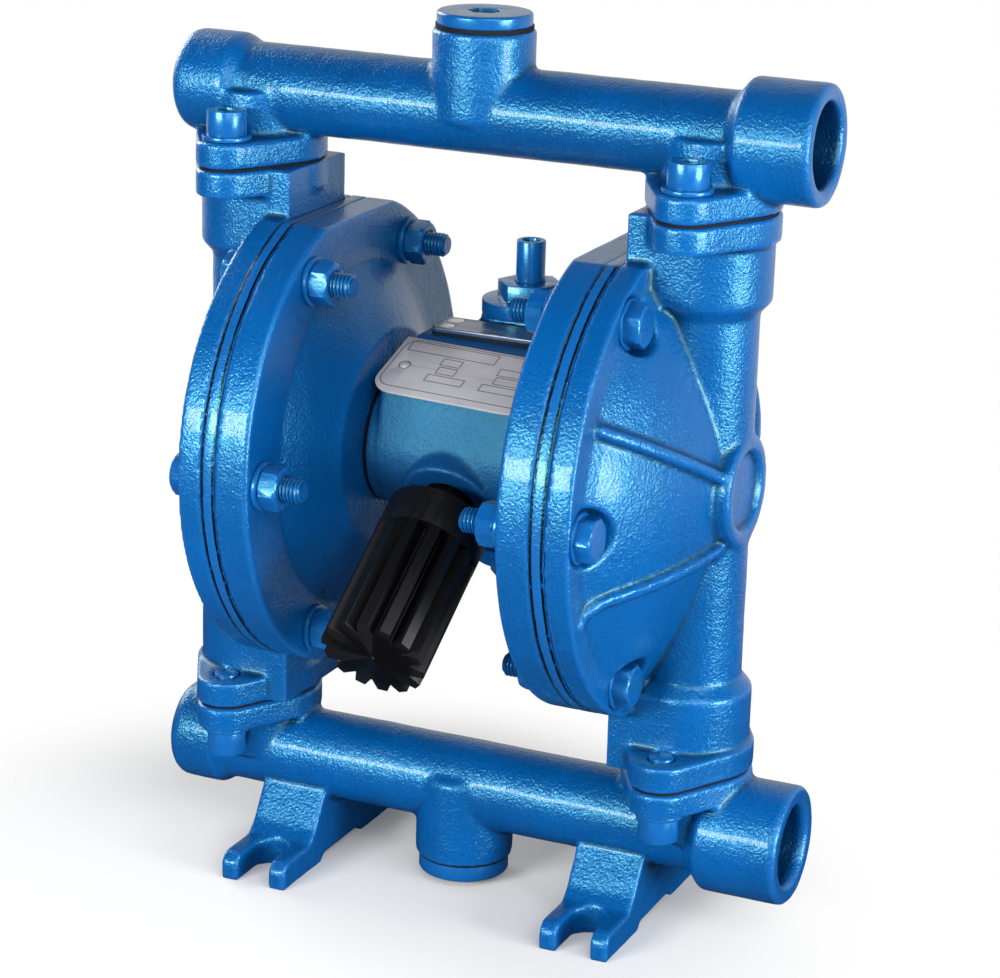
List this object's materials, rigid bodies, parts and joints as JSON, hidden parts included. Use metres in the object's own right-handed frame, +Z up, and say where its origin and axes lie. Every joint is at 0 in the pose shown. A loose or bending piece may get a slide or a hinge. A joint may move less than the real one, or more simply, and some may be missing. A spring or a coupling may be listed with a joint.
{
  "type": "air-operated double diaphragm pump",
  "caption": "Blue cast double diaphragm pump: twin round chambers between horizontal manifolds, air valve and black ribbed silencer at the centre, slotted feet.",
  "frame": {"origin": "on the floor plane, midway between the two chambers and under the axis of the connecting rod", "axes": "+X along the manifolds towards the open ports, +Y from the silencer side to the air valve side, +Z up"},
  "size_m": [0.224, 0.1598, 0.294],
  "materials": {
    "blue_enamel": "gloss enamel over pebbled cast iron",
    "blue_fastener": "gloss enamel over machined steel",
    "diaphragm_rubber": "rubber with overpainted rim",
    "gasket_black": "matt",
    "silencer_black": "moulded",
    "bright_steel": "ground",
    "plate_aluminium": "machined",
    "ball_rubber": "moulded",
    "bearing_brass": "machined",
    "nameplate_metal": "anodised sheet"
  },
  "bodies": {
    "pump_body": {"discharge_manifold": "blue_enamel", "suction_manifold": "blue_enamel", "top_boss_plug": "blue_enamel", "bottom_boss_plug": "blue_enamel", "boss_plug_gaskets": "gasket_black", "left_fluid_cover": "blue_enamel", "right_fluid_cover": "blue_enamel", "left_air_cover": "blue_enamel", "right_air_cover": "blue_enamel", "centre_body": "blue_enamel", "hub_gaskets": "gasket_black", "hub_screws": "bright_steel", "left_diaphragm": "diaphragm_rubber", "right_diaphragm": "diaphragm_rubber", "rod_bushes": "bearing_brass", "rod_seals": "gasket_black", "pilot_bushes": "bearing_brass", "suction_seats": "plate_aluminium", "discharge_seats": "plate_aluminium", "flange_seals": "gasket_black", "chamber_bolts": "blue_fastener", "chamber_nuts": "blue_fastener", "chamber_washers": "blue_fastener", "manifold_screws": "blue_fastener", "manifold_washers": "blue_fastener", "silencer": "silencer_black", "valve_gasket": "gasket_black", "valve_body": "blue_enamel", "valve_screws": "blue_fastener", "valve_sleeve": "bright_steel", "valve_cap": "blue_enamel", "valve_bottom_plug": "blue_enamel", "air_inlet_nipple": "blue_fastener", "lid": "gasket_black", "lid_gasket": "gasket_black", "lid_screws": "bright_steel", "nameplate": "nameplate_metal", "nameplate_rivets": "nameplate_metal"},
    "shaft": {"connecting_rod": "bright_steel", "left_inner_plate": "plate_aluminium", "right_inner_plate": "plate_aluminium", "left_outer_plate": "plate_aluminium", "right_outer_plate": "plate_aluminium", "plate_nuts": "bright_steel"},
    "pilot": {"pilot_rod": "bright_steel"},
    "left_suction_ball": {"left_suction_ball": "ball_rubber"},
    "right_suction_ball": {"right_suction_ball": "ball_rubber"},
    "left_discharge_ball": {"left_discharge_ball": "ball_rubber"},
    "right_discharge_ball": {"right_discharge_ball": "ball_rubber"},
    "spool": {"valve_spool": "plate_aluminium"}
  },
  "joints": [
    {"name": "shaft_slide", "type": "slide", "parent": "pump_body", "child": "shaft", "axis": [1, 0, 0], "range_m": [-0.007, 0.007], "deforming": ["left_diaphragm", "right_diaphragm"]},
    {"name": "pilot_slide", "type": "slide", "parent": "pump_body", "child": "pilot", "axis": [1, 0, 0], "range_m": [-0.003, 0.003]},
    {"name": "spool_slide", "type": "slide", "parent": "pump_body", "child": "spool", "axis": [0, 0, 1], "range_m": [-0.005, 0.005]},
    {"name": "left_suction_ball_lift", "type": "slide", "parent": "pump_body", "child": "left_suction_ball", "axis": [0, 0, 1], "range_m": [0, 0.004]},
    {"name": "left_discharge_ball_lift", "type": "slide", "parent": "pump_body", "child": "left_discharge_ball", "axis": [0, 0, 1], "range_m": [0, 0.004]},
    {"name": "right_suction_ball_lift", "type": "slide", "parent": "pump_body", "child": "right_suction_ball", "axis": [0, 0, 1], "range_m": [0, 0.004]},
    {"name": "right_discharge_ball_lift", "type": "slide", "parent": "pump_body", "child": "right_discharge_ball", "axis": [0, 0, 1], "range_m": [0, 0.004]}
  ],
  "couplings": [
    {"joint": "pilot_slide", "follows": "shaft_slide", "ratio": 0.42857}
  ]
}
